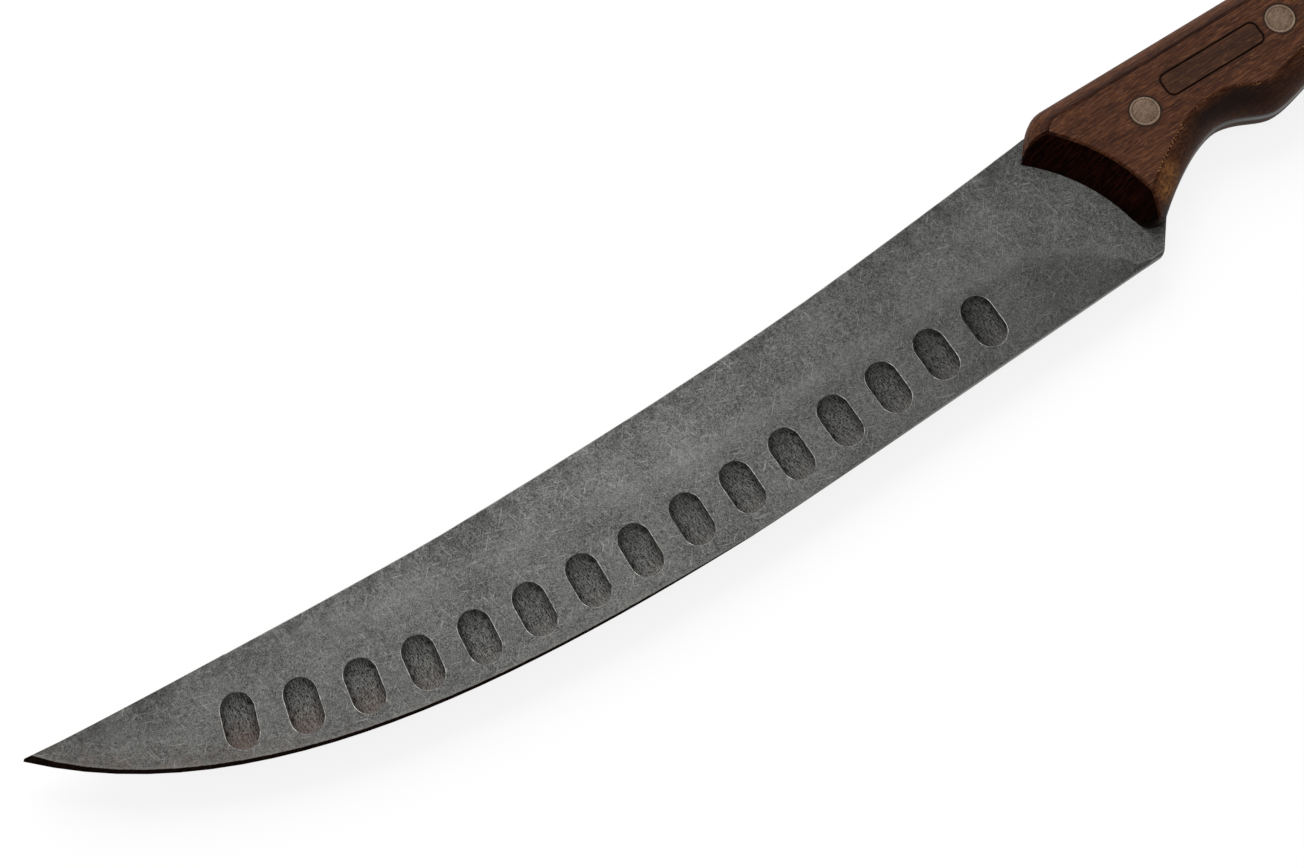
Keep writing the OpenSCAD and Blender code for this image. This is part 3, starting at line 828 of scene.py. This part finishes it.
def notch_shade_light_and_wear(tree, where, colour):
    """Painted shade and the hand's oil in the finger notch, lighter bare wood with painted light over the
    toe, and painted shade at the foot of the toe.
    """
    along_x, along_y, height = axis(tree, where, "X"), axis(tree, where, "Y"), half_height(tree, where)
    # painted shade in the hollow of the finger notch, with some darkening by the hand's oil
    notch = product(tree, ramp(tree, above_rivets(tree, where), *notch_rise, 1, 0),
                    ramp(tree, along_x, *notch_x), ramp(tree, along_x, *hump_x, 1, 0.35),
                    ramp(tree, height, *notch_z, 0.2, 1), ramp(tree, height, *notch_top, 1, 0))
    colour = mixed(tree, product(tree, notch, 0.88), colour, srgb(15, 6, 3))
    folded = node(tree, "CombineXYZ", {"X": along_x, "Y": along_y, "Z": height}).outputs["Vector"]
    # lighter bare wood over the toe, partly painted light on the slope there
    first, second = (ramp(tree, far_from(tree, folded, spot), 0, bare_r, 1, 0) for spot in bare_spots)
    uneven = spread(tree, noise(tree, where, 900, 3, 0.6), 0.34, 0.62)
    patch = product(tree, maths(tree, "MAXIMUM", first, second), uneven)
    colour = mixed(tree, patch, colour, srgb(172, 118, 68))
    # painted shade at the foot of the toe, next to the tang
    toe = product(tree, ramp(tree, along_y, *toe_y, 1, 0), ramp(tree, along_x, *toe_x, 1, 0),
                  ramp(tree, height, *toe_z, 0.95, 0))
    return mixed(tree, toe, colour, srgb(12, 6, 4))


# %% [markdown]
# ## The four wood finishes
# The sides show the grain lengthwise. The scooped front is cut across it: end grain soaks up oil
# and is nearly black, with fine upright streaks, and its foot by the tang and the notch is painted
# darker as shade. The lines of the frame and the walls of the rivet holes are scorched. The ridge
# at the back of the handle and the side just under it are painted dark as shade, and so are the
# eased edges on the notch's side and by the foot of the scooped front. Along the notch small specks
# of bare wood show.

# %% Side grain
back_rise, ridge_z, ridge_top, flat_z = (4, 8), (8.5, 9.7), (9.8, 9.9), (9.8, 9.95)
wood = Wood("side_grain", (srgb(43, 22, 13), srgb(69, 40, 24), srgb(97, 62, 41)), 0.6, 0.1)
side_grain, tree, where = wood.material, wood.tree, wood.where
flecks = spread(tree, drawn_out(tree, wood.grain_at, 420, 2100, 2, 0.5), 0.62, 0.71)
colour = mixed(tree, product(tree, flecks, 0.3), wood.colour, srgb(140, 100, 70))
colour = mixed(tree, product(tree, wood.pores, 0.5), colour, srgb(26, 12, 7))
height = half_height(tree, where)
# painted shade along the ridge at the back of the handle, and on the side just under it
ridge_shade = product(tree, ramp(tree, height, *ridge_z, 0, 0.58), ramp(tree, height, *ridge_top, 1, 0),
                   ramp(tree, above_rivets(tree, where), *back_rise))
colour = mixed(tree, ridge_shade, colour, srgb(26, 12, 7))
colour = notch_shade_light_and_wear(tree, where, colour)

# %% The stamped frame and the stains round the rivets
on_flat = ramp(tree, height, *flat_z)
frame_off = from_frame(tree, where)
in_frame = product(tree, ramp(tree, frame_off, -1.2, 0, 0.45, 0), ramp(tree, frame_off, -0.3, 0, 1, 0.3))
colour = mixed(tree, product(tree, on_flat, in_frame), colour, srgb(36, 25, 15))
by_line = ramp(tree, off_from(tree, frame_off, -0.2 * mm), 0.3, 0.8, 0.5, 0)
colour = mixed(tree, product(tree, on_flat, by_line), colour, srgb(26, 14, 9))
stain = ramp(tree, from_rivet(tree, where), 4.1, 4.8, 0.85, 0)
wood.oil(mixed(tree, product(tree, on_flat, stain), colour, srgb(16, 8, 4)))

# %% End grain and scorched lines
low_z, foot_y = (1.5, 5), (-13, -5)
wood = Wood("end_grain", (srgb(8, 2, 1), srgb(16, 5, 3), srgb(30, 11, 7)), 0.75, 0.02)
end_grain, tree, where = wood.material, wood.tree, wood.where
upright = noise(tree, squeezed(tree, where, (250, 1700, 60)), 1, 3, 0.65)
colour = mixed(tree, spread(tree, upright, 0.46, 0.62, 0, 0.65), wood.colour, srgb(52, 26, 19))
# painted shade at the foot of the scooped front, by the tang and towards the notch
colour = mixed(tree, ramp(tree, half_height(tree, where), *low_z, 0.5, 0), colour, srgb(8, 3, 2))
colour = mixed(tree, ramp(tree, axis(tree, where, "Y"), *foot_y, 0.7, 0), colour, srgb(5, 2, 2))
wood.oil(colour)

wood = Wood("scorched_line", (srgb(22, 12, 8), srgb(32, 18, 12), srgb(44, 27, 18)), 0.8, 0.03)
scorched = wood.material
wood.oil(wood.colour)

# %% Worn and shaded ridges
belly_rise, rim_z, rim_x = (-4, -8), (2.5, 6), (106, 110)
wood = Wood("ridge_wear_and_shade", (srgb(43, 22, 14), srgb(69, 40, 25), srgb(97, 62, 43)), 0.65, 0.05)
ridge_wear_and_shade, tree, where = wood.material, wood.tree, wood.where
colour = mixed(tree, product(tree, wood.pores, 0.7), wood.colour, srgb(26, 12, 7))
uneven = spread(tree, noise(tree, squeezed(tree, where, (120, 900, 900)), 1, 3, 0.65), 0.36, 0.56, 0.3, 0.9)
# painted shade on the eased ridge at the back of the handle
back_side = ramp(tree, above_rivets(tree, where), *back_rise)
colour = mixed(tree, product(tree, back_side, uneven), colour, srgb(26, 11, 6))
# painted shade on the eased edges on the notch's side
belly_side = ramp(tree, above_rivets(tree, where), *belly_rise)
colour = mixed(tree, product(tree, belly_side, 0.4), colour, srgb(24, 11, 6))
specks = product(tree, spread(tree, noise(tree, where, 2100, 2, 0.6), 0.56, 0.64),
                 spread(tree, noise(tree, where, 130, 2, 0.5), 0.44, 0.56), belly_side)
colour = mixed(tree, specks, colour, srgb(160, 116, 80))
colour = notch_shade_light_and_wear(tree, where, colour)
# painted shade on the eased rim near the tang, at the front of the handle
low_rim_shade = product(tree, ramp(tree, half_height(tree, where), *rim_z, 0.85, 0),
                  ramp(tree, axis(tree, where, "X"), *rim_x, 1, 0))
wood.oil(mixed(tree, low_rim_shade, colour, srgb(12, 5, 3)))

# %% [markdown]
# ## The handle halves
# Where the rounded shoulder meets the flat face, hands and cloths have rubbed the ridge soft, and
# light specks of bare wood show through the oil. The same holds for the rim of the scooped front.
# These edges are eased, and the new faces get the ridge finish, with its wear and painted shade.
# The right half is the same work on the other side.

# %% Places on a handle half
scoop_r, hole_r, hole_edge_r = 60, 4.15, 4.3
groove_floor, flat_face, tang_half = 9.6, 9.98, 1.55


def from_axis(points, start, direction):
    """Distance of each point from a line in space."""
    off = points - start
    return np.linalg.norm(off - np.outer(off @ direction, direction), axis=1)


def scoop_axis(side):
    """A point on the axis of the round cut at the handle's front, and the axis's direction."""
    turned = Matrix.Rotation(math.radians(27.5), 3, "Z") @ Matrix.Rotation(math.radians(38), 3, "Y")
    start = Vector((303.2, -16.6, 1.5)) + turned @ Vector((-scoop_r, 0, 0))
    way = turned @ Vector((0, 0, 1))
    start, way = (Vector((v.x, v.y, side * v.z)) for v in (start, way))
    return np.array(start) + np.array([*tip, mid_z]), np.array(way)


def from_nearest(points, spots):
    """Distance of each point from the nearest spot, seen from above."""
    return np.min([np.linalg.norm(points[:, :2] - spot, axis=1) for spot in spots], axis=0)


def by_the_frame(points, margin):
    """Says for each point if it lies within the stamped frame, grown by this margin."""
    return (np.abs(points[:, :2] - frame_middle) < frame_half + margin).all(axis=1)


# %% Handle halves
def handle_half(node_name, name, side):
    """The eased copy of a handle half. The side is 1 for the left half and -1 for the right."""
    piece = copy_of(node_name, name)
    for finish in (side_grain, ridge_wear_and_shade, end_grain, scorched):
        piece.data.materials.append(finish)
    side_slot, ridge_slot, end_slot, scorched_slot = range(4)
    at, normal = middles(piece)
    height = side * (at[:, 2] - mid_z)
    in_scoop = np.abs(from_axis(at, *scoop_axis(side)) - scoop_r) < 0.1
    in_groove = by_the_frame(at, 0.02) & (height < flat_face) & (height > groove_floor)
    in_line = in_groove | (from_nearest(at, rivet_spots) < hole_r)
    for face, scoop, line in zip(piece.data.polygons, in_scoop, in_line):
        face.material_index = end_slot if scoop else scorched_slot if line else side_slot
    points = corners(piece)
    kept = (from_nearest(points, rivet_spots) < hole_edge_r) | by_the_frame(points, 0.1)
    kept |= np.abs(points[:, 2] - mid_z) < tang_half
    edges = [n for n in sharp_edges(piece, 20) if not any(kept[v] for v in piece.data.edges[n].vertices)]
    ease(piece, edges, 0.5, 3, ridge_slot)
    smooth(piece)
    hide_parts(node_name)
    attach(piece, "root")


handle_half("left_scale", "left_handle_half", 1)
handle_half("right_scale", "right_handle_half", -1)

# %% [markdown]
# ## The rivets
# Each rivet is a headed tube from the left and a headed pin from the right. Both are made as a
# turner would see them: a disc, whose back is stepped in and drawn out to the shank. The heads
# were rubbed flush with the wood, so they are dull, with a faint ring and an eased rim. One tube
# and one pin are modelled, at the front rivet, and copied to the other two places.

# %% Rivet metal
ring_r = 3.2
rivet_metal, tree, shader = new_material("rivet_metal", metallic=0.9, specular=0.3)
where = own_place(tree)
dimples = noise(tree, where, 2300, 3, 0.65)
clouds = noise(tree, where, 420, 2, 0.5)
rubs = noise(tree, squeezed(tree, where, (260, 3400, 260), -25), 1, 2, 0.5)
level = weighed(tree, (dimples, 0.45), (clouds, 0.25), (rubs, 0.3))
colour = mixed(tree, spread(tree, level, 0.38, 0.64), srgb(66, 54, 45), srgb(104, 88, 75))
out = from_rivet(tree, where)
ring = ramp(tree, off_from(tree, out, ring_r * mm), 0.05, 0.22, 0.2, 0)
colour = mixed(tree, ring, colour, srgb(48, 38, 32))
colour = mixed(tree, ramp(tree, out, 3.4, 3.6, 0, 0.3), colour, srgb(126, 110, 95))
wire(tree, shader, colour, spread(tree, level, 0.35, 0.65, 0.65, 0.5), level, strength=0.3, depth=0.03)
print("Nodes in the rivet metal:", len(tree.nodes))


# %% One tube and one pin
head_r, head_h, rim_w, rim_drop = 4, 2, 0.12, 0.1
to_ring, ring_w, ring_depth = 0.55, 0.14, 0.05


def pick_faces(piece, test):
    """Selects the faces whose middle and normal pass a test, and leaves edit mode on."""
    bpy.ops.object.mode_set(mode="EDIT")
    bpy.ops.mesh.select_mode(type="FACE")
    bpy.ops.mesh.select_all(action="DESELECT")
    bpy.ops.object.mode_set(mode="OBJECT")
    for face in piece.data.polygons:
        face.select = test(face.center / mm, face.normal)
    bpy.ops.object.mode_set(mode="EDIT")


def step_in(width, depth=0.0):
    """Insets the selected faces by this width and moves them out by this depth, in mm."""
    bpy.ops.mesh.inset(thickness=width * mm, depth=depth * mm)


def draw_out(length):
    """Draws the selected faces out along Z by this length in mm, with new walls."""
    step_in(0)
    bpy.ops.transform.translate(value=(0, 0, length * mm))


def turned_rivet(name, spot, face_z, side, shank_r, shank_end, bore_r=None, bore_end=None):
    """A rivet half. Its head's face is at face_z, and side is 1 if that face looks up."""
    bpy.ops.object.select_all(action="DESELECT")
    middle = Vector((*spot, face_z - side * head_h / 2)) * mm
    bpy.ops.mesh.primitive_cylinder_add(vertices=64, radius=head_r * mm, depth=head_h * mm, location=middle)
    bpy.ops.object.transform_apply(location=True)
    piece = bpy.context.object
    piece.name = piece.data.name = name
    pick_faces(piece, lambda at, way: way.z * side > 0.9)
    for width, depth in ((rim_w, 0), (to_ring, 0), (ring_w, -ring_depth), (ring_w, ring_depth)):
        step_in(width, depth)
    bpy.ops.object.mode_set(mode="OBJECT")
    for vertex in piece.data.vertices:
        off = math.hypot(vertex.co.x / mm - spot[0], vertex.co.y / mm - spot[1])
        if off > head_r - rim_w / 2 and abs(vertex.co.z / mm - face_z) < 0.01:
            vertex.co.z -= side * rim_drop * mm
    pick_faces(piece, lambda at, way: way.z * side < -0.9)
    step_in(head_r - shank_r)
    draw_out(shank_end - face_z + side * head_h)
    if bore_r:
        step_in(shank_r - bore_r)
        draw_out(bore_end - shank_end)
    bpy.ops.object.mode_set(mode="OBJECT")
    piece.data.materials.append(rivet_metal)
    smooth(piece, 30)
    return piece


front = rivet_spots[0]
front_tube = turned_rivet("front_rivet_tube", front, handle_top, 1, shank_r=2.5, shank_end=4, bore_r=1.75,
                          bore_end=14)
front_stem = turned_rivet("front_rivet_stem", front, 0, -1, shank_r=1.7, shank_end=13)
print("Faces of the tube and the stem:", len(front_tube.data.polygons), len(front_stem.data.polygons))


# %% The other rivets
def copied_to(piece, name, spot):
    """A copy of a rivet half with its own mesh, moved to another rivet's place."""
    bpy.ops.object.select_all(action="DESELECT")
    piece.select_set(True)
    bpy.context.view_layer.objects.active = piece
    bpy.ops.object.duplicate()
    copy = bpy.context.object
    copy.name = copy.data.name = name
    bpy.ops.transform.translate(value=(*((spot - front) * mm), 0))
    bpy.ops.object.transform_apply(location=True)
    return copy


tubes, stems = [front_tube], [front_stem]
for name, spot in list(zip(rivet_names, rivet_spots))[1:]:
    tubes.append(copied_to(front_tube, name + "_rivet_tube", spot))
    stems.append(copied_to(front_stem, name + "_rivet_stem", spot))
for name, tube, stem in zip(rivet_names, tubes, stems):
    for piece, node_name in ((tube, name + "_rivet_socket"), (stem, name + "_rivet_pin")):
        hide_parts(node_name)
        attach(piece, "root")
        print(piece.name, "x in mm:", round(float(corners(piece)[:, 0].mean()), 1))

# %% [markdown]
# ## Floor and light
# The floor is white. Its own colour lights the knife from below, and a plain glow that only the
# camera and reflections see lifts it to white, so the soft shadow stays. One large lamp stands
# behind the spine, so the finger notch and the scooped front lie in the dark, as in the photo.

# %% Floor
def seen(tree):
    """1 for the camera and for reflections, 0 for the light that falls on other things."""
    paths = node(tree, "LightPath", {}).outputs
    mirrored = maths(tree, "MAXIMUM", paths["Is Glossy Ray"], paths["Is Transmission Ray"])
    return maths(tree, "MAXIMUM", paths["Is Camera Ray"], mirrored)


bpy.ops.object.select_all(action="DESELECT")
bpy.ops.mesh.primitive_plane_add(size=8, location=(0, 0, -0.3 * mm))
floor = bpy.context.object
floor.name = "floor"
paper, tree, shader = new_material("white_floor", roughness=0.9, specular=0.0)
shader.inputs["Base Color"].default_value = (0.17, 0.17, 0.17, 1)
glow = node(tree, "Emission", {"Color": (1, 1, 1, 1), "Strength": product(tree, seen(tree), 0.85)})
lit = node(tree, "AddShader", {0: shader.outputs["BSDF"], 1: glow.outputs["Emission"]})
tree.links.new(lit.outputs["Shader"], tree.nodes["Material Output"].inputs["Surface"])
floor.data.materials.append(paper)
floor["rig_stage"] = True
print("Floor in mm:", [round(1000 * v, 1) for v in floor.dimensions])

# %% World and lamp
world = bpy.context.scene.world or bpy.data.worlds.new("studio")
bpy.context.scene.world = world
world.use_nodes = True
tree = world.node_tree
tree.nodes["Background"].inputs["Color"].default_value = (1, 1, 1, 1)
tree.links.new(maths(tree, "MAXIMUM", seen(tree), 0.4), tree.nodes["Background"].inputs["Strength"])

lamp = bpy.data.objects.new("key_lamp", bpy.data.lights.new("key_lamp", "AREA"))
lamp.data.size, lamp.data.energy = 1.3, 28
lamp.location = (0.4, 1.15, 1.2)
lamp.rotation_mode = "QUATERNION"
lamp.rotation_quaternion = (-lamp.location).to_track_quat("-Z", "Y")
bpy.context.scene.collection.objects.link(lamp)
bpy.context.scene.view_settings.view_transform = "Standard"
print("Lamp at", [round(v, 2) for v in lamp.location])

# %% [markdown]
# ## Last look
# The box of the visual model is measured. The visual model must stay inside the imported
# model's box.

# %% Sizes, and the end
low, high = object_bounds()
